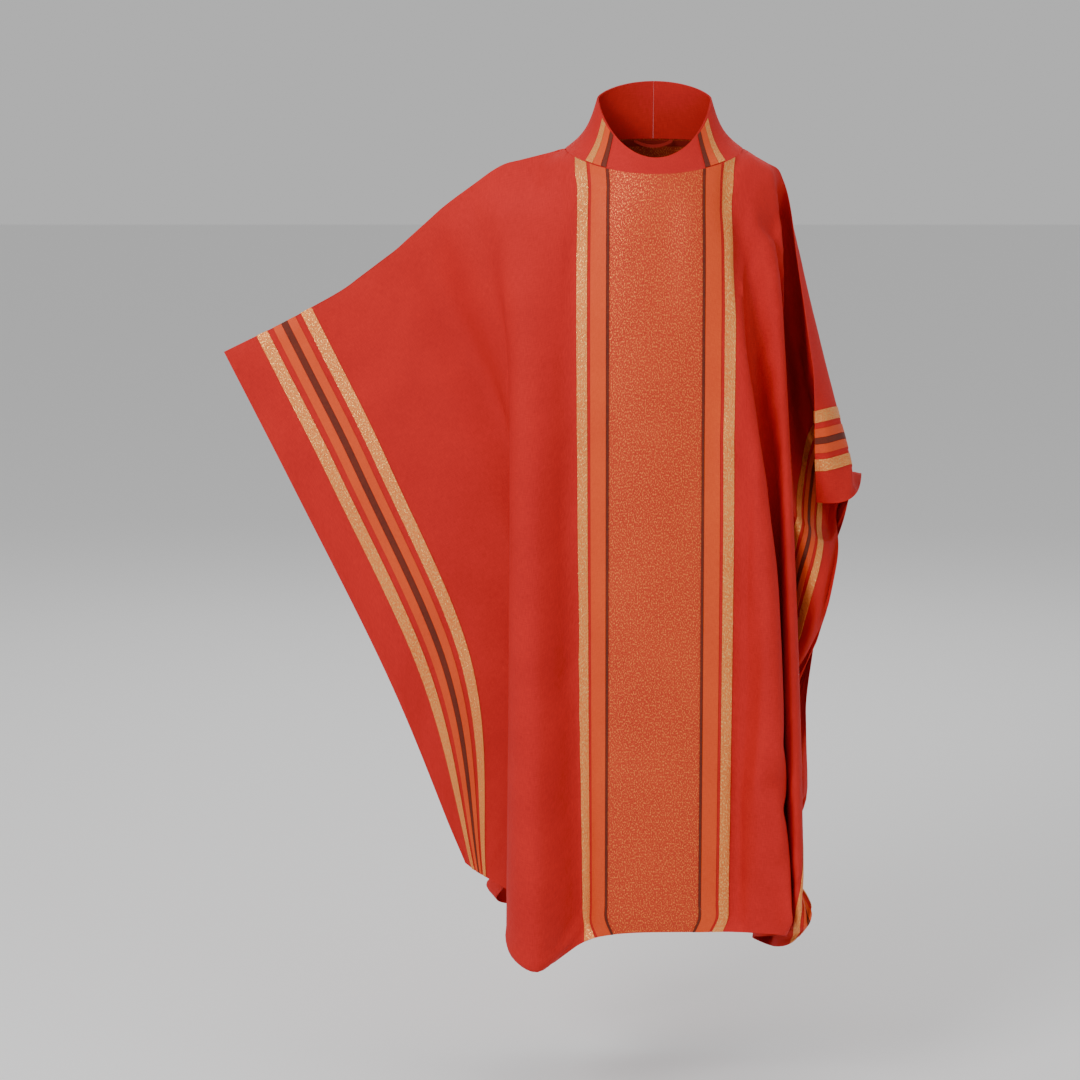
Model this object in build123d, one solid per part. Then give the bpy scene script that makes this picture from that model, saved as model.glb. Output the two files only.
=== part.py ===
from build123d import *
import math
import os

# A full chasuble hanging on a wearer whose right arm is lifted to the side.
# Millimetres. +Z is up, the front faces -Y, the wearer's right hand is at -X.
# The origin is the middle of the neckline, level with both neck ends of the shoulder seams.

# ---- cloth ----
CLOTH = 0.8                # thickness of the vestment cloth
RIBBON = 0.9               # thickness of the applied ribbons
SEWN_GAP = 0.3             # air left between two layers that are sewn together
RIBBON_GAP = 1.2           # air under the applied ribbons, which stand off a little on their stitches
SEAM_GAP = 0.6             # distance between two cloth edges that meet in a seam
HALF_WIDTH = 765.0         # centre line to side edge, measured along the cloth
FRONT_HEM = 1205.0         # depth of the front hem below the origin, at the centre
BACK_HEM = 1225.0          # depth of the back hem below the origin, at the centre
CHEST = 140.0              # how far the front stands off the shoulder line on the chest
SHOULDER_BLADES = 136.0    # the same for the back

# ---- neckline and collar ----
NECK_HALF_WIDTH = 137.0    # origin to the neck end of either shoulder seam
NECK_FRONT = 116.0         # how far the neckline reaches forward
NECK_BACK = 55.0           # how far it reaches back
NECK_FRONT_DIP = 30.0      # how far it sinks at the centre front
NECK_BACK_RISE = 12.0      # how far it climbs at the centre back
COLLAR_FRONT = 24.0        # height of the standing collar at the centre front
COLLAR_BACK = 90.0         # height at the centre back
COLLAR_MOUTH = 88.0        # half width of its upper edge
COLLAR_LEAN_FRONT = 12.0   # how far the upper edge leans in at the centre front
COLLAR_SIDE_TOP = 78.0     # height of the upper edge beside the neck
COLLAR_MOUTH_BACK = 42.0   # how far the upper edge reaches back
COLLAR_HOLLOW = 0.12       # how hollow the collar's slope is beside the neck
COLLAR_STRIPE_SLANT = 13.0 # degrees that its stripes turn outwards on the way up
COLLAR_BROWN = 8.0
COLLAR_ORANGE = 14.0
COLLAR_GOLD = 13.0

# ---- pillar and ribbons, all measured along the cloth ----
PILLAR_HALF = 75.5         # half the width of the centre panel
PIPING_WIDTH = 4.0         # dark edge of the centre panel
ORANGE_WIDTH = 24.0        # orange ribbon beside it
RIBBON_SPACE = 5.0         # cloth showing between the orange ribbon and the gold braid
GOLD_WIDTH = 17.0          # gold braid
BAND_INSET = 57.0          # side edge to the first ribbon of the side band
BAND_GOLD = 19.0           # outer ribbons of the side band
BAND_SPACE = 10.0          # cloth showing inside them
BAND_ORANGE = 14.0         # orange ribbons of the side band
BAND_BROWN = 10.0          # dark ribbon in the middle of the side band

# ---- shoulder lines: slope below level of each stretch, from the neck outwards ----
RAISED_SLOPES = (14, 36, 42, 37, 29, 26)
LOWERED_SLOPES = (30, 76, 80, 80, 79, 78, 79)
LOWERED_GATHER = 0.93      # share of the cloth's width that the hanging side spreads over
WING_LEAN = 27.0           # the raised side edge leans this far from upright
WING_EDGE = 820.0          # straight length of that edge below the cuff corner
WING_TIP_DROP = 85.0       # the edge then turns upright for this far
WING_FULLNESS = 50.0       # how far either side of the wing stands off its middle plane

# ---- where the raised wing begins ----
FOLD_FROM = 340.0          # distance from the centre where the bending strip begins
FOLD_TO = 450.0            # and where it ends and the wing begins
WING_GAP = 1.0             # gap on both sides of the bending strip

# ---- small parts ----
TAPE = 0.4                 # thickness of tapes, label and collar interlining
TAPE_END = 8.0             # where the tapes stop short of the neck ends of the shoulder seams
NECK_TAPE_WIDTH = 12.0
NECK_TAPE_INSET = 3.0      # neck seam to the tape's upper edge
SEAM_TAPE_WIDTH = 10.0
LOOP_WIDTH = 5.0           # hanger loop
LOOP_SPAN = 60.0
LOOP_SAG = 9.0
LOOP_STAND_OFF = 4.0
LABEL_WIDTH = 50.0
LABEL_HEIGHT = 25.0
LABEL_DROP = 40.0          # neckline to the label

LEVELS = (0.0, 0.07, 0.26, 0.57, 1.0)   # heights at which a fold is described, 1 is the hem
ACROSS_PITCH = 14.0        # spacing across the cloth of the places that its surface runs through
DOWN_STEPS = 24            # and how many there are from the shoulder to the hem
SIDES = (("front", True), ("back", False))


def shoulder_line(u):
    """Point of the shoulder line at the distance |u| along the cloth from the centre."""
    raised = u < 0
    slopes = RAISED_SLOPES if raised else LOWERED_SLOPES
    gather = 1.0 if raised else LOWERED_GATHER
    stretch = (HALF_WIDTH - NECK_HALF_WIDTH) * gather / len(slopes)
    left = max(abs(u) - NECK_HALF_WIDTH, 0.0) * gather
    x, z = NECK_HALF_WIDTH, 0.0
    for slope in slopes:
        run = min(left, stretch)
        x += run * math.cos(math.radians(slope))
        z -= run * math.sin(math.radians(slope))
        left -= run
    return (-x if raised else x, z)


def neck_seam(u, front):
    """Point of the neckline at x = u on the front or the back half."""
    rise = math.sqrt(max(0.0, 1.0 - (u / NECK_HALF_WIDTH) ** 2))
    if front:
        return (u, -NECK_FRONT * rise, -NECK_FRONT_DIP * rise ** 1.5)
    return (u, NECK_BACK * rise, NECK_BACK_RISE * rise)


def upper_end(u, front):
    """Upper end of a thread: on the neckline, or beside the shoulder seam."""
    out = -1 if front else 1
    beside = CLOTH / 2 + SEAM_GAP
    if abs(u) < NECK_HALF_WIDTH:
        x, y, z = neck_seam(u, front)
        return (x, out * max(abs(y), beside), z)
    x, z = shoulder_line(u)
    return (x, out * beside, z)


def fold(u, front, x, y, hem):
    """One crest or valley: sideways and outward places at the levels below the shoulder line."""
    top = upper_end(u, front)
    out = -1 if front else 1
    depth = [top[2] + (-hem - top[2]) * level for level in LEVELS]
    return [top] + [(x[i], out * y[i], depth[i + 1]) for i in range(4)]


def wing_fold(u, front, inner):
    """A thread of the raised wing, which leans in from the shoulder line to the hem."""
    out = -1 if front else 1
    top = upper_end(u, front)
    corner = shoulder_line(-HALF_WIDTH)
    lean = math.radians(WING_LEAN)
    share = (abs(u) - FOLD_FROM) / (HALF_WIDTH - FOLD_FROM)
    tip = (corner[0] + WING_EDGE * math.sin(lean),
           corner[1] - WING_EDGE * math.cos(lean) - WING_TIP_DROP)
    hem_x = inner[0] + (tip[0] - inner[0]) * share
    hem_z = inner[2] + (tip[1] - inner[2]) * share
    straight = math.hypot(hem_x - top[0], hem_z - top[2])
    beside = abs(top[1])
    points = []
    for level in LEVELS:
        run = straight * level
        leaning = (top[0] + run * math.sin(lean), top[2] - run * math.cos(lean))
        aimed = (top[0] + (hem_x - top[0]) * level, top[2] + (hem_z - top[2]) * level)
        pull = level ** 3
        x = leaning[0] + (aimed[0] - leaning[0]) * pull
        z = leaning[1] + (aimed[1] - leaning[1]) * pull
        fullness = WING_FULLNESS * math.sin(math.pi / 2 * min(1.0, level * 1.6))
        y = fullness * (1.0 - 0.45 * share) + (abs(inner[1]) - WING_FULLNESS) * level * (1 - share)
        points.append((x, out * (beside + y), z))
    return points


def front_folds():
    c = CHEST
    hem = FRONT_HEM
    folds = {
        -310: fold(-310, True, (-268, -225, -202, -200), (c - 65, c - 40, c - 42, c - 37), hem - 5),
        -255: fold(-255, True, (-238, -236, -224, -226), (c - 55, c - 5, c + 10, c + 20), hem + 35),
        -215: fold(-215, True, (-208, -212, -206, -200), (c - 50, c + 15, c + 40, c + 65), hem + 65),
        -176: fold(-176, True, (-177, -177, -174, -166), (c - 47, c + 18, c + 48, c + 78), hem + 76),
        -137: fold(-137, True, (-137, -137, -133, -124), (c - 45, c - 2, c + 8, c + 10), hem + 30),
        -75: fold(-75, True, (-75, -75, -75, -75), (c - 9, c + 6, c + 12, c + 22), hem + 2),
        0: fold(0, True, (0, 0, 0, 0), (c - 4, c + 10, c + 16, c + 26), hem),
        75: fold(75, True, (75, 75, 75, 75), (c - 9, c + 6, c + 12, c + 22), hem + 2),
        137: fold(137, True, (137, 138, 137, 134), (c - 45, c, c + 8, c + 10), hem + 2),
        180: fold(180, True, (176, 172, 172, 182), (c - 48, c - 12, c - 16, c - 12), hem + 2),
        240: fold(240, True, (203, 204, 221, 248), (c - 75, c + 20, c + 36, c + 46), hem - 5),
        300: fold(300, True, (217, 222, 232, 258), (c - 110, c - 58, c - 46, c - 12), hem - 10),
        370: fold(370, True, (234, 238, 232, 232), (c - 118, c - 88, c - 62, c - 52), hem - 15),
        450: fold(450, True, (256, 266, 286, 268), (c - 124, c - 84, c - 36, c - 34), hem - 20),
        540: fold(540, True, (268, 262, 244, 232), (c - 126, c - 98, c - 88, c - 84), hem - 22),
        640: fold(640, True, (289, 292, 280, 256), (c - 130, c - 102, c - 86, c - 84), hem - 30),
    }
    inner = fold(-FOLD_FROM, True, (-290, -240, -212, -206), (c - 75, c - 62, c - 62, c - 58), hem - 20)
    folds[-FOLD_FROM] = inner
    add_sides(folds, True, inner[-1], hem - 50)
    return folds


def back_folds():
    c = SHOULDER_BLADES
    hem = BACK_HEM
    folds = {
        -290: fold(-290, False, (-262, -258, -246, -240), (c - 96, c - 22, c + 10, c + 42), hem + 20),
        -215: fold(-215, False, (-212, -214, -206, -196), (c - 60, c + 8, c + 26, c + 66), hem + 24),
        -137: fold(-137, False, (-137, -138, -137, -135), (c - 48, c + 2, c + 12, c + 20), hem + 4),
        -75: fold(-75, False, (-75, -75, -75, -75), (c - 46, c + 6, c + 14, c + 28), hem),
        0: fold(0, False, (0, 0, 0, 0), (c - 52, c + 8, c + 16, c + 30), hem),
        75: fold(75, False, (75, 75, 75, 75), (c - 46, c + 6, c + 14, c + 28), hem),
        137: fold(137, False, (137, 138, 137, 137), (c - 48, c + 2, c + 8, c + 14), hem),
        180: fold(180, False, (176, 174, 176, 184), (c - 60, c - 6, c + 0, c + 6), hem),
        240: fold(240, False, (206, 212, 226, 248), (c - 86, c + 18, c + 40, c + 60), hem - 5),
        300: fold(300, False, (218, 228, 240, 262), (c - 112, c - 50, c - 30, c + 10), hem - 12),
        370: fold(370, False, (236, 240, 236, 238), (c - 116, c - 80, c - 52, c - 34), hem - 20),
        450: fold(450, False, (256, 268, 288, 274), (c - 122, c - 76, c - 26, c - 14), hem - 30),
        540: fold(540, False, (272, 268, 250, 242), (c - 126, c - 94, c - 80, c - 70), hem - 38),
        640: fold(640, False, (291, 298, 294, 270), (c - 128, c - 98, c - 78, c - 70), hem - 44),
    }
    inner = fold(-FOLD_FROM, False, (-294, -272, -244, -226), (c - 108, c - 62, c - 40, c - 20), hem - 4)
    folds[-FOLD_FROM] = inner
    add_sides(folds, False, inner[-1], hem - 60)
    return folds


def add_sides(folds, front, inner, hem):
    """The raised wing's threads, and the free edge of the lowered side."""
    steps = 6
    for i in range(1, steps + 1):
        u = FOLD_FROM + (HALF_WIDTH - FOLD_FROM) * i / steps
        folds[-u] = wing_fold(-u, front, inner)
    corner = shoulder_line(HALF_WIDTH)
    x = [corner[0] + shift for shift in (0.0, 2.0, -14.0, -46.0)]
    folds[HALF_WIDTH] = fold(HALF_WIDTH, front, x, (8.0, 26.0, 34.0, 36.0), hem)


def smooth(keys, values, at):
    """Smooth curve through the values, level with its neighbours' slope at each key."""
    i = max(k for k in range(len(keys) - 1) if keys[k] <= at or k == 0)
    span = keys[i + 1] - keys[i]
    f = (at - keys[i]) / span

    def slope(k):
        low, high = max(k - 1, 0), min(k + 1, len(keys) - 1)
        return (values[high] - values[low]) / (keys[high] - keys[low])

    a, b = values[i], values[i + 1]
    m, n = slope(i) * span, slope(i + 1) * span
    return (a * (2 * f ** 3 - 3 * f ** 2 + 1) + m * (f ** 3 - 2 * f ** 2 + f)
            + b * (3 * f ** 2 - 2 * f ** 3) + n * (f ** 3 - f ** 2))


def cloth_point(front, u, t):
    """Middle of the cloth at the distance u across and the share t of the way to the hem."""
    folds = FOLDS[front]
    keys = sorted(folds)
    held = min(max(u, keys[0]), keys[-1])
    columns = []
    for level in range(len(LEVELS)):
        values = [[folds[k][level][axis] for k in keys] for axis in range(3)]
        columns.append([smooth(keys, values[axis], held) for axis in range(3)])
    columns[0] = list(upper_end(held, front))
    return Vector(*[smooth(LEVELS, [c[axis] for c in columns], t) for axis in range(3)])


def steps(low, high, pitch):
    count = max(4, math.ceil(abs(high - low) / pitch))
    return [low + (high - low) * i / count for i in range(count + 1)]


def across_cloth(low, high):
    """Places across the cloth, closest together beside the neck ends of the shoulder seams."""
    neck = [NECK_HALF_WIDTH * math.sin(math.pi * i / 22) for i in range(-11, 12)]
    count = round((HALF_WIDTH - NECK_HALF_WIDTH) / ACROSS_PITCH)
    side = [NECK_HALF_WIDTH + (HALF_WIDTH - NECK_HALF_WIDTH) * (i / count) ** 1.1
            for i in range(1, count)]
    places = sorted([-u for u in side] + neck + side)
    room = (high - low) / 30
    inner = [u for u in places if low + room < u < high - room]
    return [low] + inner + [high] if len(inner) > 3 else steps(low, high, ACROSS_PITCH)


def down_cloth(top, bottom):
    """Shares of the way to the hem, closest together where the cloth turns over the shoulder."""
    return [top + (bottom - top) * (i / DOWN_STEPS) ** 1.4 for i in range(DOWN_STEPS + 1)]


def layer(surface, across, along, low, high):
    """A closed sheet between two distances outside a surface."""
    da = 0.01 * (across[-1] - across[0])
    db = 0.01 * (along[-1] - along[0])

    def lifted(a, b, out):
        towards_a = surface(min(a + da, across[-1]), b) - surface(max(a - da, across[0]), b)
        towards_b = surface(a, min(b + db, along[-1])) - surface(a, max(b - db, along[0]))
        return surface(a, b) + towards_a.cross(towards_b).normalized() * out

    sections, ends = [], []
    for b in along:
        inner = Edge.make_spline([lifted(a, b, low) for a in across])
        outer = Edge.make_spline([lifted(a, b, high) for a in across])
        sections.append(Wire([inner, Edge.make_line(inner @ 1, outer @ 1),
                              outer, Edge.make_line(outer @ 0, inner @ 0)]))
        if b in (along[0], along[-1]):
            ends.append(Face.make_surface_from_curves(inner, outer))
    skin = Shell.make_loft(sections)
    return Solid(Shell(list(skin.faces()) + ends))


def sheet(front, u0, u1, low, high, along=None):
    """Part of the vestment cloth, or a ribbon or tape on it. Positive is outside."""
    along = along or down_cloth(SEAM_GAP / FRONT_HEM, 1.0)
    if front:
        return layer(lambda a, b: cloth_point(True, -a, b), across_cloth(-u1, -u0), along, low, high)
    return layer(lambda a, b: cloth_point(False, a, b), across_cloth(u0, u1), along, low, high)


def ribbon(front, u0, u1):
    return sheet(front, u0, u1, CLOTH / 2 + RIBBON_GAP, CLOTH / 2 + RIBBON_GAP + RIBBON)


# ---- collar ----
def collar_point(angle, height):
    """Middle of the collar: angle from the centre front, height 0 at the seam, 1 at the edge."""
    sine, cosine = math.sin(angle), math.cos(angle)
    front = cosine >= 0
    low = Vector(*neck_seam(NECK_HALF_WIDTH * sine, front))
    reach = NECK_FRONT - COLLAR_LEAN_FRONT if front else COLLAR_MOUTH_BACK
    end_z = COLLAR_FRONT - NECK_FRONT_DIP if front else COLLAR_BACK + NECK_BACK_RISE
    z = COLLAR_SIDE_TOP + (end_z - COLLAR_SIDE_TOP) * abs(cosine) ** 1.4
    high = Vector(COLLAR_MOUTH * sine, -reach * cosine, z)
    hollow = COLLAR_HOLLOW * sine ** 2 * math.sin(math.pi * height)
    inwards = low + (high - low) * (height + hollow)
    return Vector(inwards.X, inwards.Y, low.Z + (high.Z - low.Z) * (height - hollow))


def collar_layer(from_angle, to_angle, low, high, bottom=0.02, top=1.0, slant=0.0):
    def surface(a, b):
        return collar_point(a + slant * b, b)
    return layer(surface, steps(from_angle, to_angle, 0.12), steps(bottom, top, 0.16), low, high)


def collar_parts():
    seam = SEAM_GAP / NECK_BACK
    start, end = -math.pi + seam, math.pi - seam
    under = -CLOTH / 2 - SEWN_GAP
    facing = under - TAPE - SEWN_GAP
    parts = {
        "collar_outer": [collar_layer(start, end, -CLOTH / 2, CLOTH / 2)],
        "collar_interlining": [collar_layer(start, end, under - TAPE, under, 0.08, 0.94)],
        "collar_facing": [collar_layer(start, end, facing - CLOTH, facing, 0.08)],
    }
    side = math.asin(PILLAR_HALF / NECK_HALF_WIDTH)
    per_mm = 1.0 / NECK_HALF_WIDTH / math.cos(side)
    low = CLOTH / 2 + SEWN_GAP
    slant = math.radians(COLLAR_STRIPE_SLANT)
    edge = side
    for name, width, space in (("brown_stripes", COLLAR_BROWN, SEAM_GAP),
                               ("orange_stripes", COLLAR_ORANGE, SEAM_GAP),
                               ("gold_stripes", COLLAR_GOLD, 0.0)):
        far = edge + width * per_mm
        parts["collar_" + name] = [
            collar_layer(edge, far, low, low + RIBBON, 0.06, 0.94, slant),
            collar_layer(-far, -edge, low, low + RIBBON, 0.06, 0.94, -slant)]
        edge = far + space * per_mm
    return parts


# ---- vestment cloth ----
def cloth_parts():
    half = CLOTH / 2
    seam = SEAM_GAP / 2
    edges = {"panel_right": (-FOLD_FROM + WING_GAP, -PILLAR_HALF - seam),
             "pillar": (-PILLAR_HALF + seam, PILLAR_HALF - seam),
             "panel_left": (PILLAR_HALF + seam, HALF_WIDTH),
             "wing_fold": (-FOLD_TO + WING_GAP, -FOLD_FROM - WING_GAP),
             "wing": (-HALF_WIDTH, -FOLD_TO - WING_GAP)}
    return {f"{word}_{name}": [sheet(front, low, high, -half, half)]
            for word, front in SIDES for name, (low, high) in edges.items()}


def pillar_ribbons():
    parts = {}
    for word, front in SIDES:
        edge = PILLAR_HALF - PIPING_WIDTH
        for name, width, space in (("brown_piping", PIPING_WIDTH, SEAM_GAP),
                                   ("orange_ribbon", ORANGE_WIDTH, RIBBON_SPACE),
                                   ("gold_braid", GOLD_WIDTH, 0.0)):
            far = edge + width
            parts[f"{word}_{name}_left"] = [ribbon(front, edge, far)]
            parts[f"{word}_{name}_right"] = [ribbon(front, -far, -edge)]
            edge = far + space
    return parts


def side_bands():
    """Five ribbons beside each side edge: a gold pair, an orange pair and a dark one."""
    gold = BAND_INSET
    orange = gold + BAND_GOLD + BAND_SPACE
    brown = orange + BAND_ORANGE + SEAM_GAP
    orange_2 = brown + BAND_BROWN + SEAM_GAP
    gold_2 = orange_2 + BAND_ORANGE + BAND_SPACE
    kinds = {"gold_ribbons": ((gold, BAND_GOLD), (gold_2, BAND_GOLD)),
             "orange_ribbons": ((orange, BAND_ORANGE), (orange_2, BAND_ORANGE)),
             "brown_ribbon": ((brown, BAND_BROWN),)}
    parts = {}
    for word, front in SIDES:
        for name, strips in kinds.items():
            edges = [(HALF_WIDTH - inset - width, HALF_WIDTH - inset) for inset, width in strips]
            parts[f"{word}_band_{name}"] = [ribbon(front, low, high) for low, high in edges]
            parts[f"{word}_wing_{name}"] = [ribbon(front, -high, -low) for low, high in edges]
    return parts


# ---- inside ----
def inner_tape(front, u0, u1, from_edge, width, thick=TAPE):
    """A strip sewn inside the cloth, along the shoulder seam or the neckline."""
    hem = FRONT_HEM if front else BACK_HEM
    high = -CLOTH / 2 - SEWN_GAP
    along = steps(from_edge / hem, (from_edge + width) / hem, 0.002)
    return sheet(front, u0, u1, high - thick, high, along)


def hanger_loop():
    """A short tape whose ends are caught in the neck seam at the centre back."""
    half = LOOP_SPAN / 2

    def surface(a, b):
        sag = 1.0 - (a / half) ** 2
        seam = neck_seam(a, False)
        inwards = LOOP_STAND_OFF + LOOP_SAG / 2 * sag
        return Vector(a, seam[1] - inwards, seam[2] - LOOP_SAG * sag - b)
    return layer(surface, steps(-half, half, 6.0), steps(0.0, LOOP_WIDTH, 2.0), 0.0, TAPE)


def inside_parts():
    edge = NECK_HALF_WIDTH - TAPE_END
    beside = NECK_HALF_WIDTH + TAPE_END
    depth = LABEL_DROP / BACK_HEM
    high = -CLOTH / 2 - SEWN_GAP
    return {
        "neck_tape": [inner_tape(front, -edge, edge, NECK_TAPE_INSET, NECK_TAPE_WIDTH)
                      for word, front in SIDES],
        "shoulder_tape_left": [inner_tape(False, beside, HALF_WIDTH - BAND_INSET, SEAM_GAP,
                                          SEAM_TAPE_WIDTH)],
        "shoulder_tape_right": [inner_tape(False, -FOLD_FROM + WING_GAP, -beside, SEAM_GAP,
                                           SEAM_TAPE_WIDTH)],
        "wing_shoulder_tape": [inner_tape(False, -HALF_WIDTH + BAND_INSET, -FOLD_TO - WING_GAP,
                                          SEAM_GAP, SEAM_TAPE_WIDTH)],
        "hanger_loop": [hanger_loop()],
        "blank_label": [sheet(False, -LABEL_WIDTH / 2, LABEL_WIDTH / 2, high - TAPE, high,
                              steps(depth, depth + LABEL_HEIGHT / BACK_HEM, 0.004))],
    }


FOLDS = {True: front_folds(), False: back_folds()}
os.makedirs("parts", exist_ok=True)
for parts in (cloth_parts(), pillar_ribbons(), side_bands(), collar_parts(), inside_parts()):
    for name, solids in parts.items():
        shape = solids[0] if len(solids) == 1 else Compound(children=solids)
        export_step(shape, f"parts/{name}.step")
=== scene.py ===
import math

import bpy
import numpy as np
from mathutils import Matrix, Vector


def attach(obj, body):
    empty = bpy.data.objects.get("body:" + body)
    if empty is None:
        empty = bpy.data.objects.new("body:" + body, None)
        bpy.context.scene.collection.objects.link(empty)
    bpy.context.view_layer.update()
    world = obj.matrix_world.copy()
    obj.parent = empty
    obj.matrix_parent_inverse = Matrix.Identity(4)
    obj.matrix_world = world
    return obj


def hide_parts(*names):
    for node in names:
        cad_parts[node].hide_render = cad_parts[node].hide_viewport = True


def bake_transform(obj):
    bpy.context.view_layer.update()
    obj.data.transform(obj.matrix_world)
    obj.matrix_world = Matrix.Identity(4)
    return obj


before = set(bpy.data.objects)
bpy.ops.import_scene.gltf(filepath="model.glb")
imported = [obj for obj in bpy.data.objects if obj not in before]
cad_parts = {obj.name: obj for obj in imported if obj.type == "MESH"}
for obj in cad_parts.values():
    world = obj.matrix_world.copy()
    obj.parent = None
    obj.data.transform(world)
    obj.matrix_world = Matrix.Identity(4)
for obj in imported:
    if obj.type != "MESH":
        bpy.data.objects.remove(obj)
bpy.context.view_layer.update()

# A full chasuble, draped with the wearer's right arm lifted. Metres, front towards -Y.

# ---- the cut ----
HALF = 0.765               # centre line to side edge
FRONT_CUT = 1.30           # shoulder line to front hem
BACK_CUT = 1.32
SIDE_CUT = 0.86            # straight part of the side edge
CORNER = 0.42              # how far in from the side edge the hem starts to round
CORNER_POWER = 2.6
NECK_CUT_FRONT = 0.135     # depth of the neck hole in the flat cloth
CLOTH = 0.0008
RIBBON = 0.0009
TAPE = 0.0004
SEWN = 0.0002              # air between sewn layers
STEP = 0.024
SETTLING = 110             # frames of the settling
LETTING_DOWN = 35          # frames in which the hanging side is let down

# ---- neckline and collar, as the CAD has them ----
NECK_HALF = 0.137
NECK_FRONT, NECK_BACK = 0.116, 0.055
NECK_DIP, NECK_RISE = 0.030, 0.012
COLLAR_FRONT, COLLAR_BACK = 0.024, 0.090
COLLAR_MOUTH, COLLAR_MOUTH_BACK = 0.088, 0.042
COLLAR_LEAN, COLLAR_SIDE_TOP = 0.012, 0.078
COLLAR_HOLLOW = 0.12
COLLAR_BROWN, COLLAR_ORANGE, COLLAR_GOLD = 0.008, 0.014, 0.013
COLLAR_SLANT = math.radians(13.0)        # its stripes lean outwards on the way up

# ---- pillar and ribbons ----
PILLAR_HALF = 0.0755
PIPING, ORANGE, SPACE, GOLD = 0.004, 0.024, 0.005, 0.017
BAND_INSET, BAND_GOLD, BAND_SPACE, BAND_ORANGE, BAND_BROWN = 0.057, 0.019, 0.010, 0.014, 0.010
SEAM = 0.0006
TAPE_END = 0.008           # where the tapes stop short of the neck
NECK_TAPE, SEAM_TAPE = 0.012, 0.010

# ---- how it hangs ----
FRONT_HEM, BACK_HEM = 1.205, 1.225
CHEST, BLADES = 0.140, 0.136
RAISED_SLOPES = (14, 36, 42, 37, 29, 26)
LOWERED_SLOPES = (30, 76, 80, 80, 79, 78, 79)
LOWERED_GATHER = 0.93
WING_LEAN = math.radians(27.0)
WING_EDGE, WING_TIP = 0.820, 0.085
WING_FULLNESS = 0.050
FOLD_FROM, FOLD_TO = 0.340, 0.450        # where the lifted side bends
LEVELS = (0.0, 0.07, 0.26, 0.57, 1.0)
LOBE = 0.31                # the hanging side's front and back lobes are laid up to here
SHOULDER = 0.190           # beyond this the hanging side is drawn in
CUFF_REACH = 0.333         # to this far from the middle
MOST_DEEP = 0.222          # and nothing stands further forward or back than this

# ---- how firmly the laid folds are held while the cloth settles, 1 is sewn or pinned ----
HELD_LINE = 0.16           # along the hanging shoulder line
HELD_CENTRE = 0.3
HELD_LOBE = 0.9            # the lobe in front of the lifted wing
HELD_WING = 0.5
HELD_FALL = 0.14           # the hanging side's first lobes


def shoulder_line(u):
    raised = u < 0
    slopes = RAISED_SLOPES if raised else LOWERED_SLOPES
    gather = 1.0 if raised else LOWERED_GATHER
    stretch = (HALF - NECK_HALF) * gather / len(slopes)
    left = max(abs(u) - NECK_HALF, 0.0) * gather
    x, z = NECK_HALF, 0.0
    for slope in slopes:
        run = min(left, stretch)
        x += run * math.cos(math.radians(slope))
        z -= run * math.sin(math.radians(slope))
        left -= run
    return (-x if raised else x, 0.0, z)


def neck_seam(u, front):
    rise = math.sqrt(max(0.0, 1.0 - (u / NECK_HALF) ** 2))
    if front:
        return (u, -NECK_FRONT * rise, -NECK_DIP * rise ** 1.5)
    return (u, NECK_BACK * rise, NECK_RISE * rise)


def top_of(u, front):
    return neck_seam(u, front) if abs(u) < NECK_HALF else shoulder_line(u)


def fold(u, front, x, y, hem):
    """A crest or valley: its place sideways and outwards at each level below the shoulder."""
    top = top_of(u, front)
    out = -1 if front else 1
    return [top] + [(x[i], out * y[i], top[2] - (hem + top[2]) * LEVELS[i + 1]) for i in range(4)]


def wing_fold(u, front, inner):
    """A thread of the lifted wing, leaning in towards the hem."""
    out = -1 if front else 1
    top, corner = shoulder_line(u), shoulder_line(-HALF)
    share = (abs(u) - FOLD_FROM) / (HALF - FOLD_FROM)
    tip_x = corner[0] + WING_EDGE * math.sin(WING_LEAN)
    tip_z = corner[2] - WING_EDGE * math.cos(WING_LEAN) - WING_TIP
    hem_x = inner[0] + (tip_x - inner[0]) * share
    hem_z = inner[2] + (tip_z - inner[2]) * share
    straight = math.hypot(hem_x - top[0], hem_z - top[2])
    points = []
    for level in LEVELS:
        run, pull = straight * level, level ** 3
        x = (top[0] + run * math.sin(WING_LEAN)) * (1 - pull) + hem_x * pull
        z = (top[2] - run * math.cos(WING_LEAN)) * (1 - pull) + hem_z * pull
        y = WING_FULLNESS * math.sin(math.pi / 2 * min(1.0, level * 1.6)) * (1.0 - 0.45 * share)
        y += (abs(inner[1]) - WING_FULLNESS) * level * (1 - share)
        points.append((x, out * y, z))
    return points


def folds_of(front, rows, inner_row, hem, edge):
    """All crests and valleys of one side, from the lifted side edge to the hanging one."""
    made = {u: fold(u, front, x, y, hem + drop) for u, x, y, drop in rows}
    u, x, y, drop = inner_row
    made[u] = fold(u, front, x, y, hem + drop)
    for i in range(1, 7):
        thread = -FOLD_FROM - (HALF - FOLD_FROM) * i / 6
        made[thread] = wing_fold(thread, front, made[u][-1])
    x, y, drop = edge
    made[HALF] = fold(HALF, front, x, y, hem + drop)
    return made


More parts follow.
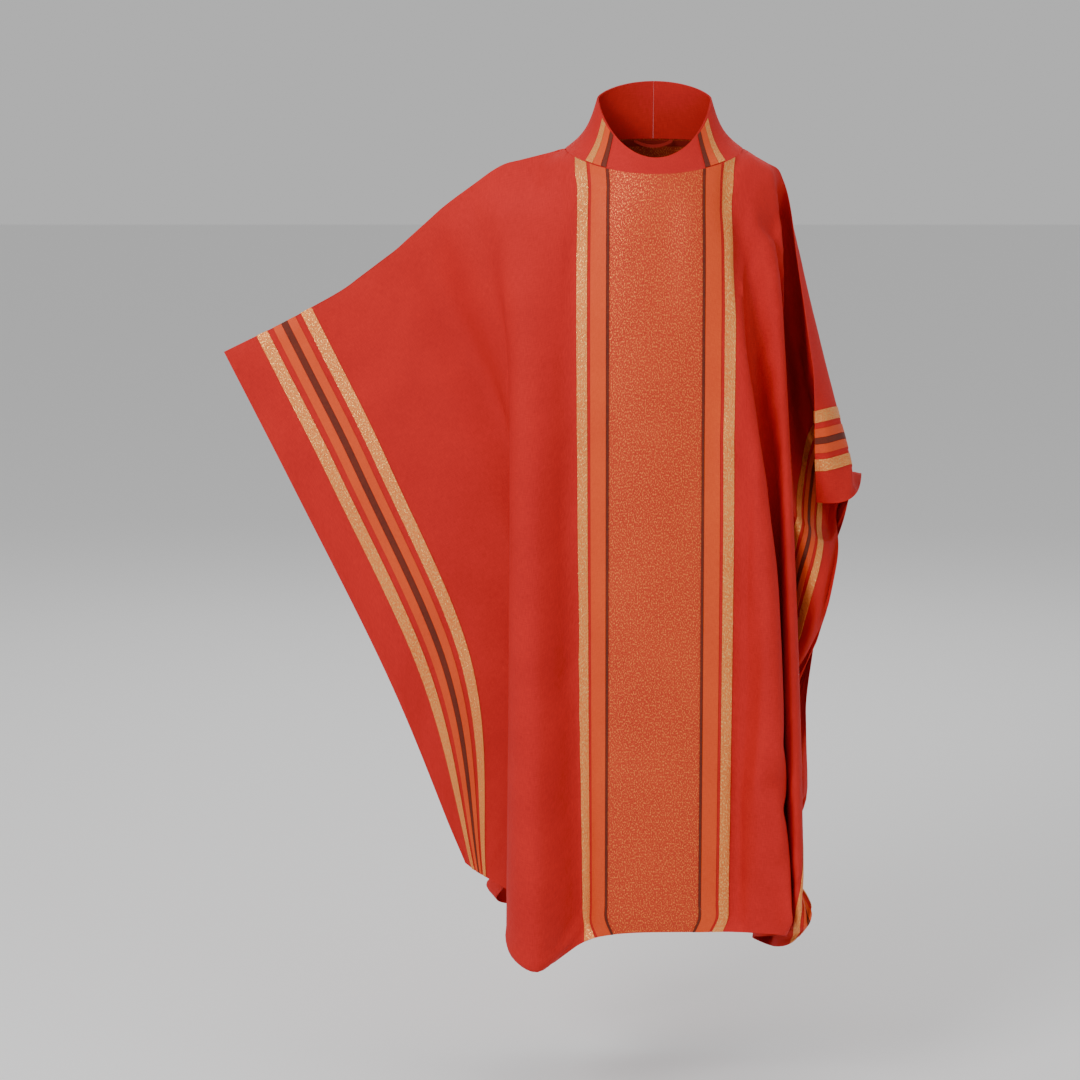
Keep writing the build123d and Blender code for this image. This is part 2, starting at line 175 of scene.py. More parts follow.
FRONT_ROWS = (
    (-0.305, (-.262, -.212, -.186, -.184), (.070, .088, .086, .090), -.005),
    (-0.255, (-.238, -.226, -.226, -.232), (.085, .128, .142, .150), .035),
    (-0.215, (-.208, -.210, -.212, -.212), (.092, .158, .184, .205), .065),
    (-0.176, (-.177, -.176, -.174, -.168), (.094, .160, .190, .214), .076),
    (-0.137, (-.137, -.137, -.133, -.124), (.095, .138, .148, .150), .030),
    (-0.075, (-.075,) * 4, (.131, .146, .152, .162), .002),
    (0.0, (0.0,) * 4, (.136, .150, .156, .166), .0),
    (0.075, (.075,) * 4, (.131, .146, .152, .162), .002),
    (0.137, (.137, .138, .137, .134), (.095, .140, .148, .150), .002),
    (0.180, (.176, .172, .172, .182), (.092, .128, .124, .128), .002),
    (0.240, (.203, .204, .221, .248), (.065, .160, .176, .186), -.005),
    (0.300, (.216, .222, .230, .256), (.030, .085, .095, .130), -.010),
    (0.370, (.236, .226, .214, .214), (.024, .058, .072, .090), -.015),
    (0.450, (.255, .244, .226, .222), (.020, .066, .100, .104), -.020),
    (0.540, (.267, .246, .212, .205), (.018, .046, .058, .062), -.025),
    (0.640, (.288, .268, .230, .225), (.018, .050, .084, .088), -.030))
FRONT_INNER = (-FOLD_FROM, (-.290, -.232, -.204, -.200), (.060, .070, .066, .068), -.020)
FRONT_EDGE = ((.303, .285, .240, .215), (.012, .036, .050, .056), -.070)
BACK_ROWS = (
    (-0.290, (-.262, -.258, -.246, -.240), (.040, .114, .146, .178), .020),
    (-0.215, (-.212, -.214, -.206, -.196), (.076, .144, .162, .202), .024),
    (-0.137, (-.137, -.138, -.137, -.135), (.088, .138, .148, .156), .004),
    (-0.075, (-.075,) * 4, (.090, .142, .150, .164), .0),
    (0.0, (0.0,) * 4, (.084, .144, .152, .166), .0),
    (0.075, (.075,) * 4, (.090, .142, .150, .164), .0),
    (0.137, (.137, .138, .137, .137), (.088, .138, .144, .150), .0),
    (0.180, (.176, .174, .176, .184), (.076, .130, .136, .142), .0),
    (0.240, (.206, .212, .226, .248), (.050, .154, .176, .196), -.005),
    (0.300, (.220, .232, .246, .262), (.024, .090, .110, .146), -.012),
    (0.370, (.240, .250, .262, .262), (.020, .060, .084, .100), -.020),
    (0.450, (.258, .272, .288, .280), (.016, .064, .112, .124), -.030),
    (0.540, (.272, .276, .272, .258), (.012, .044, .060, .066), -.038),
    (0.640, (.292, .300, .300, .276), (.010, .040, .066, .072), -.044))
BACK_INNER = (-FOLD_FROM, (-.294, -.272, -.244, -.226), (.028, .074, .096, .116), -.004)
BACK_EDGE = ((.309, .300, .296, .258), (.010, .030, .045, .046), -.060)

FOLDS = {True: folds_of(True, FRONT_ROWS, FRONT_INNER, FRONT_HEM, FRONT_EDGE),
         False: folds_of(False, BACK_ROWS, BACK_INNER, BACK_HEM, BACK_EDGE)}


def spline_matrix(keys, at):
    """Weights of a smooth curve through values at the keys, for each place in at."""
    keys = np.asarray(keys, float)
    out = np.zeros((len(at), len(keys)))
    last = len(keys) - 1
    for row, place in enumerate(at):
        i = int(np.clip(np.searchsorted(keys, place, side="right") - 1, 0, last - 1))
        span = keys[i + 1] - keys[i]
        f = min(1.0, max(0.0, (place - keys[i]) / span))
        out[row, i] += 2 * f ** 3 - 3 * f ** 2 + 1
        out[row, i + 1] += 3 * f ** 2 - 2 * f ** 3
        for knot, weight in ((i, f ** 3 - 2 * f ** 2 + f), (i + 1, f ** 3 - f ** 2)):
            low, high = max(knot - 1, 0), min(knot + 1, last)
            slope = span * weight / (keys[high] - keys[low])
            out[row, high] += slope
            out[row, low] -= slope
    return out


def hem_of(u, front):
    """Length of the cut from the shoulder line to the hem."""
    whole = FRONT_CUT if front else BACK_CUT
    into = (abs(u) - (HALF - CORNER)) / CORNER
    if into <= 0:
        return whole
    return SIDE_CUT + (whole - SIDE_CUT) * max(0.0, 1 - into ** CORNER_POWER) ** (1 / CORNER_POWER)


def neck_of(u, front):
    depth = NECK_CUT_FRONT if front else NECK_BACK
    return depth * math.sqrt(max(0.0, 1 - (u / NECK_HALF) ** 2))


def columns():
    count = max(6, round(2 * NECK_HALF / STEP))
    inner = [-NECK_HALF * math.cos(math.pi * i / count) for i in range(count + 1)]
    outer = round((HALF - NECK_HALF) / STEP)
    side = [NECK_HALF + (HALF - NECK_HALF) * (i + 1) / outer for i in range(outer)]
    return [-u for u in reversed(side)] + inner + side


def designed(front, us, ts):
    """The folds as laid, as an array over us and ts."""
    keys = sorted(FOLDS[front])
    table = np.array([FOLDS[front][k] for k in keys])
    across = spline_matrix(keys, us)
    grid = np.einsum("ik,klc->ilc", across, table)
    for i, u in enumerate(us):
        grid[i, 0] = top_of(u, front)
    return np.einsum("ilc,jl->ijc", grid, spline_matrix(LEVELS, ts))


# ---- the drape ----
def body_form():
    """The wearer's body under the cloth, which the cloth lies on while it settles."""
    rings = ((-1.50, .185, .135), (-0.9, .175, .130), (-0.6, .160, .120), (-0.35, .170, .124),
             (-0.2, .182, .118), (-0.10, .186, .100), (-0.05, .176, .085), (-0.02, .155, .068),
             (0.0, .125, .05))
    count = 48
    verts, faces = [], []
    for z, across, deep in rings:
        for k in range(count):
            turn = 2 * math.pi * k / count
            c, s = math.cos(turn), math.sin(turn)
            verts.append((across * math.copysign(abs(c) ** 0.83, c),
                          deep * math.copysign(abs(s) ** 0.83, s), z))
    for r in range(len(rings) - 1):
        for k in range(count):
            n = (k + 1) % count
            faces.append((r * count + k, r * count + n, (r + 1) * count + n, (r + 1) * count + k))
    faces.append(tuple(reversed(range(count))))
    faces.append(tuple((len(rings) - 1) * count + k for k in range(count)))
    mesh = bpy.data.meshes.new("body form")
    mesh.from_pydata(verts, [], faces)
    obj = bpy.data.objects.new("body form", mesh)
    bpy.context.collection.objects.link(obj)
    obj.modifiers.new("Collision", "COLLISION")
    obj.collision.thickness_outer = 0.004
    obj.collision.thickness_inner = 0.02
    obj.collision.cloth_friction = 8
    return obj


def hold_of(u, t, front):
    """How firmly a point of the cloth is held where it was laid."""
    if t == 0:
        return 1.0 if u < NECK_HALF + 0.05 else HELD_LINE
    if abs(u) <= NECK_HALF:
        return HELD_CENTRE
    if u < 0 and (front or u < -0.36):
        return (HELD_LOBE if u > -0.36 else HELD_WING) * min(1.0, t / 0.25)
    if NECK_HALF < u < LOBE:
        return HELD_FALL * min(1.0, t / 0.3)
    return 0.0


def spread(laid, us, front):
    """The hanging side's cloth before it is let down: carried level with the shoulder."""
    last = max(i for i, u in enumerate(us) if u < NECK_HALF + 1e-6)
    start = laid.copy()
    for i in range(last + 1, len(us)):
        start[i] = laid[last]
        start[i, :, 0] = us[i]
        start[i, :, 2] = start[i, :, 2] * hem_of(us[i], front) / hem_of(us[last], front)
    return start


def settle(us, rows):
    """Cloth laid in its folds settles under its own weight, and keeps the size of its cut."""
    ts = [j / rows for j in range(rows + 1)]
    index, verts, flat, held, lowered = {}, [], [], [], []
    for front in (True, False):
        laid = designed(front, us, ts)
        start_places = spread(laid, us, front)
        side = -1 if front else 1
        for i, u in enumerate(us):
            start, length = neck_of(u, front), hem_of(u, front)
            for j, t in enumerate(ts):
                if j == 0 and not front and abs(u) >= NECK_HALF - 1e-9:
                    index[front, i, j] = index[True, i, j]
                    continue
                index[front, i, j] = len(verts)
                verts.append(tuple(start_places[i, j]))
                flat.append((u, side * (start + (length - start) * t), 0.0))
                weight = hold_of(u, t, front)
                held.append(weight)
                lowered.append(tuple(laid[i, j] if weight else start_places[i, j]))
    faces = []
    for front in (True, False):
        for i in range(len(us) - 1):
            for j in range(rows):
                quad = [index[front, i, j], index[front, i + 1, j],
                        index[front, i + 1, j + 1], index[front, i, j + 1]]
                faces.append(quad if not front else quad[::-1])
    mesh = bpy.data.meshes.new("draping cloth")
    mesh.from_pydata(verts, [], faces)
    cloth = bpy.data.objects.new("draping cloth", mesh)
    bpy.context.collection.objects.link(cloth)
    pins = cloth.vertex_groups.new(name="held")
    for v, weight in enumerate(held):
        pins.add([v], weight, "REPLACE")
    cloth.shape_key_add(name="Basis")
    cut = cloth.shape_key_add(name="flat cut")
    down = cloth.shape_key_add(name="let down")
    for v, place in enumerate(flat):
        cut.data[v].co = place
        down.data[v].co = lowered[v]
    cut.value = 0.0
    for value, frame_number in ((0.0, 1), (1.0, LETTING_DOWN)):
        down.value = value
        down.keyframe_insert("value", frame=frame_number)
    form = body_form()
    cloth_mod = cloth.modifiers.new("Cloth", "CLOTH")
    s = cloth_mod.settings
    s.rest_shape_key = cut
    s.quality = 6
    s.mass = 0.15
    s.tension_stiffness, s.compression_stiffness = 25, 20
    s.shear_stiffness, s.bending_stiffness = 8, 0.4
    s.tension_damping = s.compression_damping = s.shear_damping = 5
    s.bending_damping = 0.5
    s.air_damping = 1
    s.vertex_group_mass = pins.name
    c = cloth_mod.collision_settings
    c.use_collision, c.distance_min, c.collision_quality = True, 0.004, 2
    c.use_self_collision, c.self_distance_min, c.self_friction = True, 0.004, 5
    cloth_mod.point_cache.frame_start, cloth_mod.point_cache.frame_end = 1, SETTLING
    for frame_number in range(1, SETTLING + 1):
        bpy.context.scene.frame_set(frame_number)
    settled = cloth.evaluated_get(bpy.context.evaluated_depsgraph_get()).to_mesh()
    places = np.zeros(len(settled.vertices) * 3)
    settled.vertices.foreach_get("co", places)
    places = places.reshape(-1, 3)
    result = {front: np.array([[places[index[front, i, j]] for j in range(rows + 1)]
                               for i in range(len(us))]) for front in (True, False)}
    bpy.context.scene.frame_set(1)
    bpy.data.objects.remove(cloth)
    bpy.data.objects.remove(form)
    return result


def drawn_in(grids):
    """Draws the hanging side and the back in against the wearer, where soft cloth would lie."""
    reach = max(grid[:, :, 0].max() for grid in grids.values())
    for front, grid in grids.items():
        x, y = grid[:, :, 0], grid[:, :, 1]
        pull = min(1.0, (CUFF_REACH - SHOULDER) / (reach - SHOULDER))
        grid[:, :, 0] = np.where(x > SHOULDER, SHOULDER + (x - SHOULDER) * pull, x)
        for side, limit, most in ((-1, -CHEST - 0.02, -MOST_DEEP), (1, BLADES + 0.02, MOST_DEEP)):
            far = side * y.min() if side < 0 else y.max()
            if far > side * most:
                share = (side * most - side * limit) / (far - side * limit)
                beyond = side * y > side * limit
                grid[:, :, 1] = np.where(beyond, limit + (y - limit) * share, grid[:, :, 1])
    return grids


def pressed(grid):
    """Evens out the cloth's small wrinkles, and its side and hem edges a little more."""
    grid[1:-1, 1:-1] = (0.6 * grid[1:-1, 1:-1] + 0.1 * (grid[:-2, 1:-1] + grid[2:, 1:-1])
                        + 0.1 * (grid[1:-1, :-2] + grid[1:-1, 2:]))
    for step in range(6):
        for edge in (0, -1):
            grid[edge, 1:-1] = 0.5 * grid[edge, 1:-1] + 0.25 * (grid[edge, :-2] + grid[edge, 2:])
        grid[1:-1, -1] = 0.5 * grid[1:-1, -1] + 0.25 * (grid[:-2, -1] + grid[2:, -1])
    return grid


def hang():
    us = columns()
    rows = round(FRONT_CUT / STEP)
    settled = drawn_in(settle(us, rows))
    return us, [j / rows for j in range(rows + 1)], {f: pressed(settled[f]) for f in settled}


US, TS, HUNG = hang()


def places(low, high, pitch):
    count = max(2, math.ceil(abs(high - low) / pitch))
    return [low + (high - low) * i / count for i in range(count + 1)]


def cloth_at(front, us, ts):
    """Middle of the cloth over us and ts, and its outward normals."""
    across, along = spline_matrix(US, us), spline_matrix(TS, ts)
    grid = np.einsum("ik,kjc,mj->imc", across, HUNG[front], along)
    gu, gt = np.gradient(grid, axis=0), np.gradient(grid, axis=1)
    normal = np.cross(gt, gu) if front else np.cross(gu, gt)
    return grid, normal / np.maximum(np.linalg.norm(normal, axis=2, keepdims=True), 1e-9)


def shell(name, grids, charts, material):
    """A closed thin piece between an inner and an outer skin, one pair for each strip of it."""
    verts, faces, uvs = [], [], []
    for (inner, outer), chart in zip(grids, charts):
        n, m = inner.shape[:2]
        base = len(verts)
        verts += [tuple(p) for p in outer.reshape(-1, 3)] + [tuple(p) for p in inner.reshape(-1, 3)]
        uvs += [tuple(p) for p in chart.reshape(-1, 2)] * 2

        def at(i, j, skin):
            return base + skin * n * m + i * m + j

        for i in range(n - 1):
            for j in range(m - 1):
                faces.append((at(i, j, 0), at(i, j + 1, 0), at(i + 1, j + 1, 0), at(i + 1, j, 0)))
                faces.append((at(i, j, 1), at(i + 1, j, 1), at(i + 1, j + 1, 1), at(i, j + 1, 1)))
        rim = ([(i, 0) for i in range(n)] + [(n - 1, j) for j in range(1, m)]
               + [(i, m - 1) for i in range(n - 2, -1, -1)] + [(0, j) for j in range(m - 2, 0, -1)])
        for (a, b), (c, d) in zip(rim, rim[1:] + rim[:1]):
            faces.append((at(a, b, 0), at(c, d, 0), at(c, d, 1), at(a, b, 1)))
    mesh = bpy.data.meshes.new(name)
    mesh.from_pydata(verts, [], faces)
    layer = mesh.uv_layers.new(name="cut")
    loops = np.zeros(len(mesh.loops), dtype=np.int32)
    mesh.loops.foreach_get("vertex_index", loops)
    layer.data.foreach_set("uv", np.array(uvs)[loops].ravel())
    mesh.polygons.foreach_set("use_smooth", [True] * len(mesh.polygons))
    mesh.materials.append(material)
    mesh.update()
    obj = bpy.data.objects.new(name, mesh)
    bpy.context.collection.objects.link(obj)
    bpy.ops.object.select_all(action="DESELECT")
    obj.select_set(True)
    bpy.context.view_layer.objects.active = obj
    bpy.ops.object.mode_set(mode="EDIT")
    bpy.ops.mesh.select_all(action="SELECT")
    bpy.ops.mesh.normals_make_consistent(inside=False)
    bpy.ops.object.mode_set(mode="OBJECT")
    bpy.ops.object.shade_smooth_by_angle(angle=math.radians(50))
    obj.select_set(False)
    return obj


def strip(front, u0, u1, low, high, s0=None, s1=None, pitch=0.008, along=0.008):
    """Inner and outer skin of a strip of the cloth, and its chart in metres of the cut."""
    us = places(u0, u1, pitch)
    ts = places(0.0, 1.0, along / FRONT_CUT)
    if s0 is not None:
        ts = places(s0 / FRONT_CUT, s1 / FRONT_CUT, along / FRONT_CUT)
    middle, normal = cloth_at(front, us, ts)
    chart = np.array([[(u, neck_of(u, front) + (hem_of(u, front) - neck_of(u, front)) * t)
                       for t in ts] for u in us])
    return (middle + normal * low, middle + normal * high), chart


def cloth_piece(name, strips, material):
    made = [strip(*args) for args in strips]
    return shell(name, [skins for skins, chart in made], [chart for skins, chart in made], material)


# ---- materials ----
class Sock:
    """A shader socket that takes part in sums."""

    def __init__(self, tree, socket):
        self.tree, self.socket = tree, socket

    def _math(self, operation, *others):
        return self.tree.node("ShaderNodeMath", {"operation": operation}, [self, *others])

    def __add__(self, other):
        return self._math("ADD", other)

    __radd__ = __add__

    def __sub__(self, other):
        return self._math("SUBTRACT", other)

    def __mul__(self, other):
        return self._math("MULTIPLY", other)


class Cloth:
    """A material in the making."""

    def __init__(self, name):
        self.material = bpy.data.materials.new(name)
        self.material.use_nodes = True
        self.tree = self.material.node_tree
        self.shader = self.tree.nodes["Principled BSDF"]

    def node(self, kind, settings=None, inputs=(), output=0):
        made = self.tree.nodes.new(kind)
        for key, value in (settings or {}).items():
            setattr(made, key, value)
        pairs = inputs.items() if isinstance(inputs, dict) else enumerate(inputs)
        for key, value in pairs:
            self.put(made.inputs[key], value)
        return Sock(self, made.outputs[output])

    def put(self, socket, value):
        if isinstance(value, Sock):
            self.tree.links.new(value.socket, socket)
        elif value is not None:
            socket.default_value = value

    def set(self, **values):
        for key, value in values.items():
            name = {"colour": "Base Color", "sheen": "Sheen Weight",
                    "specular": "Specular IOR Level"}.get(key, key.replace("_", " ").title())
            if isinstance(value, tuple) and len(value) == 3:
                value = (*value, 1.0)
            self.put(self.shader.inputs[name], value)

    def mix(self, share, low, high):
        low, high = ((*c, 1.0) if isinstance(c, tuple) else c for c in (low, high))
        return self.node("ShaderNodeMix", {"data_type": "RGBA"}, {0: share, 6: low, 7: high}, 2)

    def bump(self, height, distance, strength=1.0):
        normal = self.node("ShaderNodeBump", {},
                           {"Height": height, "Distance": distance, "Strength": strength})
        self.put(self.shader.inputs["Normal"], normal)

    def cut(self):
        """Place on the flat cloth, in metres."""
        return self.node("ShaderNodeUVMap", {"uv_map": "cut"})

    def noise(self, vector, scale, detail=2.0, stretch=None):
        if stretch:
            vector = self.node("ShaderNodeVectorMath", {"operation": "MULTIPLY"},
                               {0: vector, 1: stretch})
        return self.node("ShaderNodeTexNoise", {},
                         {"Vector": vector, "Scale": scale, "Detail": detail}, 0)

    def threads(self, vector, pitch, sideways):
        """Rounded threads side by side, from 0 between them to 1 on top."""
        wave = self.node("ShaderNodeTexWave",
                         {"bands_direction": "X" if sideways else "Y", "wave_profile": "SIN"},
                         {"Vector": vector, "Scale": 1.0 / pitch / 3.1831, "Distortion": 0.0})
        return wave


def linear(red, green, blue):
    """A colour as it looks, 0 to 255, as the shader wants it."""
    return tuple(((c / 255 + 0.055) / 1.055) ** 2.4 for c in (red, green, blue))


def woven(name, dark, light, pitch, metal=0.0, rough=0.75, glint=None, sheen=0.3,
          charted=True):
    """Woven cloth: crossing threads, uneven yarn, slow changes of colour and a soft sheen."""
    m = Cloth(name)
    place = m.cut() if charted else m.node("ShaderNodeTexCoord", output="Object")
    warp, weft = m.threads(place, pitch, True), m.threads(place, pitch, False)
    yarn = m.noise(place, 1.0, 3.0, (1.0 / (pitch * 1.6), 1.0 / (pitch * 14), 1.0))
    cross = m.noise(place, 1.0, 3.0, (1.0 / (pitch * 14), 1.0 / (pitch * 1.6), 1.0))
    broad = m.noise(place, 9.0, 3.0)
    share = yarn * 0.35 + cross * 0.35 + broad * 0.3
    sharper = m.node("ShaderNodeMapRange", {}, {0: share, 1: 0.32, 2: 0.68, 3: 0.0, 4: 1.0})
    colour = m.mix(sharper, dark, light)
    roughness = rough + (cross - 0.5) * 0.15
    metallic = metal
    if glint:
        speck = m.noise(place, 1.0, 2.0, (1.0 / (pitch * 1.8), 1.0 / (pitch * 3.0), 1.0))
        spots = m.node("ShaderNodeMapRange", {}, {0: speck, 1: 0.50, 2: 0.66, 3: 0.0, 4: 1.0})
        colour = m.mix(spots, colour, glint)
        roughness = roughness - spots * 0.25
        metallic = spots * 0.55 + metal
    m.set(colour=colour, roughness=roughness, metallic=metallic, sheen=sheen,
          sheen_roughness=0.45, sheen_tint=light, specular=0.25)
    m.bump(warp * weft * 0.6 + yarn * 0.5 + cross * 0.5, pitch * 0.35, 0.6)
    return m.material


RED = woven("red wool", linear(172, 20, 18), linear(206, 34, 30), 0.0008, sheen=0.08)
PILLAR = woven("lurex pillar weave", linear(182, 40, 22), linear(206, 66, 32), 0.0010, 0.1, 0.55,
               linear(236, 128, 62), 0.05)
GOLD_BRAID = woven("gold braid", linear(214, 104, 44), linear(238, 146, 72), 0.0012, 0.3, 0.45,
                   linear(250, 190, 112), 0.03)
ORANGE_RIBBON = woven("orange ribbon", linear(204, 62, 22), linear(228, 86, 32), 0.0006, 0.1, 0.5,
                      sheen=0.05)
BROWN_RIBBON = woven("dark ribbon", linear(74, 22, 12), linear(124, 42, 20), 0.0007, 0.0, 0.6,
                     sheen=0.05)
COTTON = woven("cotton tape", linear(150, 26, 22), linear(176, 40, 34), 0.0005, 0.0, 0.85)
LOOP_COTTON = woven("loop tape", linear(150, 26, 22), linear(176, 40, 34), 0.0005, 0.0, 0.85,
                    charted=False)
LABEL = woven("blank label satin", linear(214, 206, 190), linear(236, 230, 218), 0.0004, 0.0, 0.5)


# ---- vestment ----
def on_wing(piece):
    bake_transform(piece)


def finish_piece(piece, nodes, crosses=False):
    if crosses:
        on_wing(piece)
    else:
        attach(piece, "vestment")
    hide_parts(*nodes)
    return piece


half = CLOTH / 2
lift = half + SEWN


def ribbon(front, low, high):
    """A ribbon on the outside of the cloth, closely divided to lie true."""
    return (front, low, high, lift, lift + RIBBON, None, None, 0.004)


SIDES = (("front", True), ("back", False))
sheets = []
for word, front in SIDES:
    seam = SEAM / 2
    right = cloth_piece(f"{word}_cloth_right",
                        [(front, -HALF, -PILLAR_HALF - seam, -half, half)], RED)
    finish_piece(right,
                 [f"{word}_panel_right", f"{word}_wing_fold", f"{word}_wing"], True)
    left = cloth_piece(f"{word}_cloth_left",
                       [(front, PILLAR_HALF + seam, HALF, -half, half)], RED)
    finish_piece(left, [f"{word}_panel_left"])
    pillar = cloth_piece(f"{word}_pillar_cloth",
                         [(front, -PILLAR_HALF + seam, PILLAR_HALF - seam, -half, half)], PILLAR)
    finish_piece(pillar, [f"{word}_pillar"])
    sheets += [(right, front, -HALF, -PILLAR_HALF), (left, front, PILLAR_HALF, HALF),
               (pillar, front, -PILLAR_HALF, PILLAR_HALF)]
    edge = PILLAR_HALF - PIPING
    for name, width, space, slot, material in (
            ("brown_piping", PIPING, SEAM, "brown_ribbon", BROWN_RIBBON),
            ("orange_ribbon", ORANGE, SPACE, "orange_ribbon", ORANGE_RIBBON),
            ("gold_braid", GOLD, 0.0, "gold_braid", GOLD_BRAID)):
        for hand, low, high in (("left", edge, edge + width), ("right", -edge - width, -edge)):
            piece = cloth_piece(f"{word}_{name}_{hand}", [ribbon(front, low, high)], material)
            finish_piece(piece, [f"{word}_{name}_{hand}"])
        edge += width + space
    gold = BAND_INSET
    orange = gold + BAND_GOLD + BAND_SPACE
    brown = orange + BAND_ORANGE + SEAM
    orange_2 = brown + BAND_BROWN + SEAM
    gold_2 = orange_2 + BAND_ORANGE + BAND_SPACE
    for name, insets, width, slot, material in (
            ("gold_ribbons", (gold, gold_2), BAND_GOLD, "gold_braid", GOLD_BRAID),
            ("orange_ribbons", (orange, orange_2), BAND_ORANGE, "orange_ribbon", ORANGE_RIBBON),
            ("brown_ribbon", (brown,), BAND_BROWN, "brown_ribbon", BROWN_RIBBON)):
        hanging = [ribbon(front, HALF - inset - width, HALF - inset) for inset in insets]
        lifted = [ribbon(front, inset - HALF, inset + width - HALF) for inset in insets]
        piece = cloth_piece(f"{word}_band_{name}", hanging, material)
        finish_piece(piece, [f"{word}_band_{name}"])
        piece = cloth_piece(f"{word}_wing_{name}", lifted, material)
        finish_piece(piece, [f"{word}_wing_{name}"], True)


# ---- collar ----
def collar_point(angle, height):
    sine, cosine = math.sin(angle), math.cos(angle)
    front = cosine >= 0
    low = np.array(neck_seam(NECK_HALF * sine, front))
    reach = NECK_FRONT - COLLAR_LEAN if front else COLLAR_MOUTH_BACK
    end_z = COLLAR_FRONT - NECK_DIP if front else COLLAR_BACK + NECK_RISE
    z = COLLAR_SIDE_TOP + (end_z - COLLAR_SIDE_TOP) * abs(cosine) ** 1.4
    high = np.array((COLLAR_MOUTH * sine, -reach * cosine, z))
    hollow = COLLAR_HOLLOW * sine ** 2 * math.sin(math.pi * height)
    inwards = low + (high - low) * (height + hollow)
    inwards[2] = low[2] + (high[2] - low[2]) * (height - hollow)
    return inwards


def collar_strip(start, end, low, high, bottom=0.0, top=1.0, slant=0.0):
    angles, heights = places(start, end, 0.03), places(bottom, top, 0.06)
    middle = np.array([[collar_point(a + slant * h, h) for h in heights] for a in angles])
    ga, gh = np.gradient(middle, axis=0), np.gradient(middle, axis=1)
    normal = np.cross(ga, gh)
    normal /= np.maximum(np.linalg.norm(normal, axis=2, keepdims=True), 1e-9)
    chart = np.array([[(a * NECK_HALF * 0.8, h * 0.08) for h in heights] for a in angles])
    return (middle + normal * low, middle + normal * high), chart


def collar_piece(name, strips, material):
    made = [collar_strip(*args) for args in strips]
    piece = shell(name, [skins for skins, chart in made], [chart for skins, chart in made], material)
    return finish_piece(piece, [name])


around = (-math.pi + 0.001, math.pi - 0.001)
under = -half - SEWN - TAPE - SEWN
collar_piece("collar_outer", [(*around, -half, half)], RED)
collar_piece("collar_facing", [(*around, under - CLOTH, under)], RED)
collar_piece("collar_interlining", [(*around, under + SEWN, under + SEWN + TAPE, 0.08, 0.94)],
             LABEL)
side = math.asin(PILLAR_HALF / NECK_HALF)
per_metre = 1.0 / NECK_HALF / math.cos(side)
edge = side
for name, width, slot, material in (("brown_stripes", COLLAR_BROWN, "brown_ribbon", BROWN_RIBBON),
                                    ("orange_stripes", COLLAR_ORANGE, "orange_ribbon", ORANGE_RIBBON),
                                    ("gold_stripes", COLLAR_GOLD, "gold_braid", GOLD_BRAID)):
    far = edge + width * per_metre
    collar_piece("collar_" + name,
                 [(edge, far, lift, lift + RIBBON, 0.03, 0.97, COLLAR_SLANT),
                  (-far, -edge, lift, lift + RIBBON, 0.03, 0.97, -COLLAR_SLANT)], material)
    edge = far + SEAM * per_metre

# ---- inside ----
inside = -half - SEWN


def tape(front, low, high, start=SEAM, width=SEAM_TAPE, pitch=0.008):
    """A tape inside the cloth, along its upper edge."""
    return (front, low, high, inside - TAPE, inside, start, start + width, pitch, 0.003)


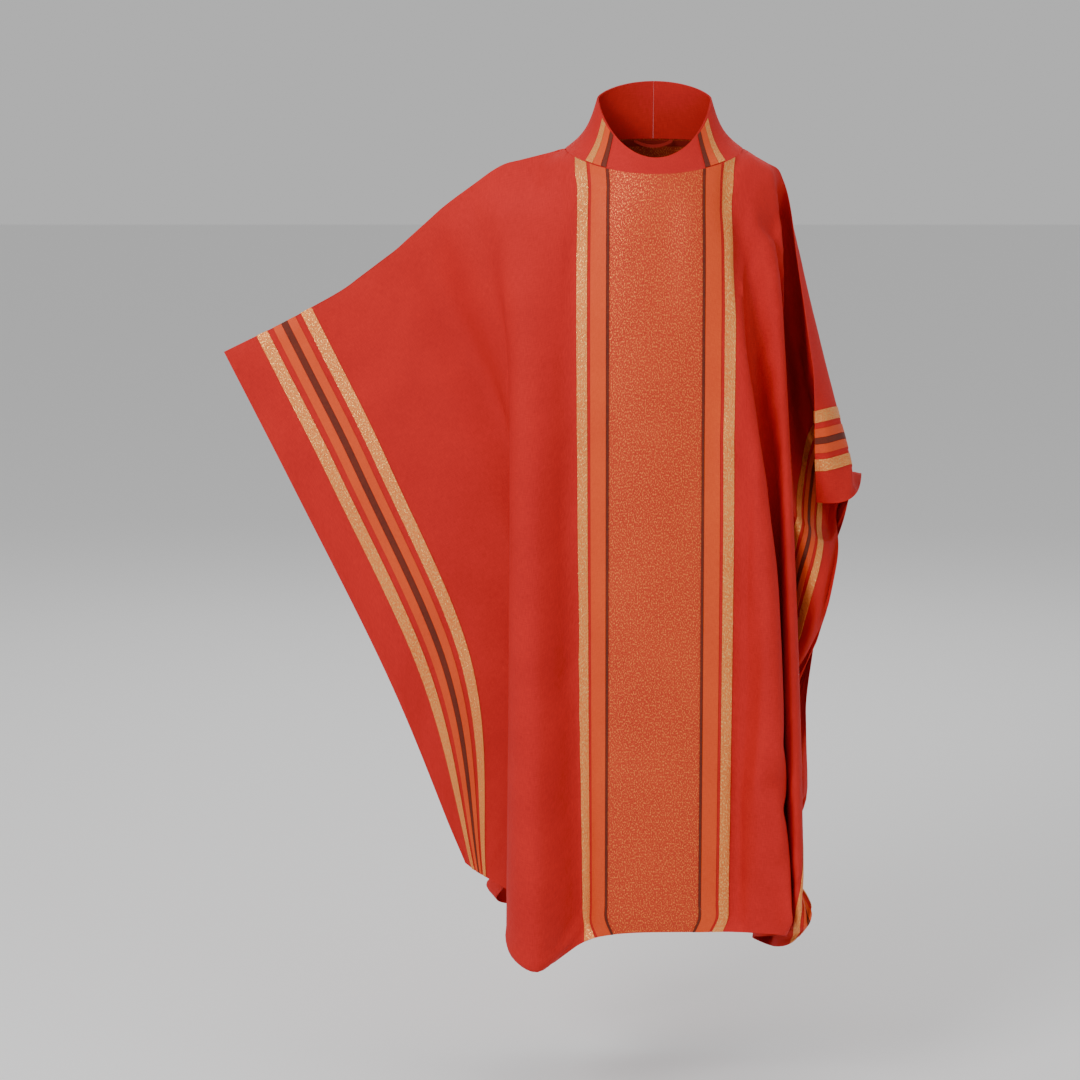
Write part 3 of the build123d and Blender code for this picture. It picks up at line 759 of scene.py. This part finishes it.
neck = NECK_HALF - TAPE_END
beside = NECK_HALF + TAPE_END
for name, strips, crosses in (
        ("neck_tape", [tape(front, -neck, neck, 0.003, NECK_TAPE, 0.006) for front in (True, False)],
         False),
        ("shoulder_tape_left", [tape(False, beside, HALF - BAND_INSET)], False),
        ("shoulder_tape_right", [tape(False, -FOLD_FROM + 0.001, -beside)], True),
        ("wing_shoulder_tape", [tape(False, -HALF + BAND_INSET, -FOLD_TO - 0.001)], True)):
    finish_piece(cloth_piece(name, strips, COTTON), [name], crosses)
label = cloth_piece("blank_label", [(False, -0.025, 0.025, inside - TAPE, inside, 0.04, 0.065)],
                    LABEL)
finish_piece(label, ["blank_label"])
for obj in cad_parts.values():
    if obj.name.endswith("hanger_loop"):
        obj.data.materials.clear()
        obj.data.materials.append(LOOP_COTTON)

# ---- sheets of cloth ----
for piece, front, low, high in sheets:
    across = places(low, high, 0.01)
    cut_area = sum(hem_of(u, front) - neck_of(u, front) for u in across[:-1]) * (across[1] - across[0])
    high - low


# ---- floor, light and camera ----
def soft_light(name, place, size, power, aim=(-0.17, 0.0, -0.6)):
    data = bpy.data.lights.new(name, "AREA")
    data.shape, data.size, data.energy = "SQUARE", size, power
    obj = bpy.data.objects.new(name, data)
    bpy.context.collection.objects.link(obj)
    obj.location = place
    obj.rotation_euler = (Vector(aim) - Vector(place)).to_track_quat("-Z", "Y").to_euler()
    return obj


bpy.ops.mesh.primitive_plane_add(size=30, location=(0, 0, -1.50))
floor = bpy.context.object
floor.name = "studio floor"
pale = Cloth("pale floor")
pale.set(colour=(0.86, 0.86, 0.86), roughness=0.9)
floor.data.materials.append(pale.material)
soft_light("key light", (-2.2, -3.0, 1.6), 1.6, 110)
soft_light("fill light", (2.6, -2.8, 0.6), 2.6, 22)
soft_light("top light", (0.0, 0.3, 2.8), 2.4, 40)
soft_light("back light", (0.0, 3.5, 1.5), 2.4, 40)
world = bpy.data.worlds.new("studio") if not bpy.context.scene.world else bpy.context.scene.world
bpy.context.scene.world = world
world.use_nodes = True
world.node_tree.nodes["Background"].inputs[0].default_value = (1, 1, 1, 1)
world.node_tree.nodes["Background"].inputs[1].default_value = 0.55

TILT = math.radians(10.0)
DISTANCE, WIDE = 6.0, 1.702
aim = (-0.1765, 0.0, -0.615)
camera_data = bpy.data.cameras.new("camera")
camera_data.lens = 36 * DISTANCE / WIDE
camera_data.sensor_width = 36
camera = bpy.data.objects.new("camera", camera_data)
bpy.context.collection.objects.link(camera)
camera.location = (aim[0], aim[1] - DISTANCE * math.cos(TILT), aim[2] + DISTANCE * math.sin(TILT))
camera.rotation_euler = (math.pi / 2 - TILT, 0, 0)
bpy.context.scene.camera = camera
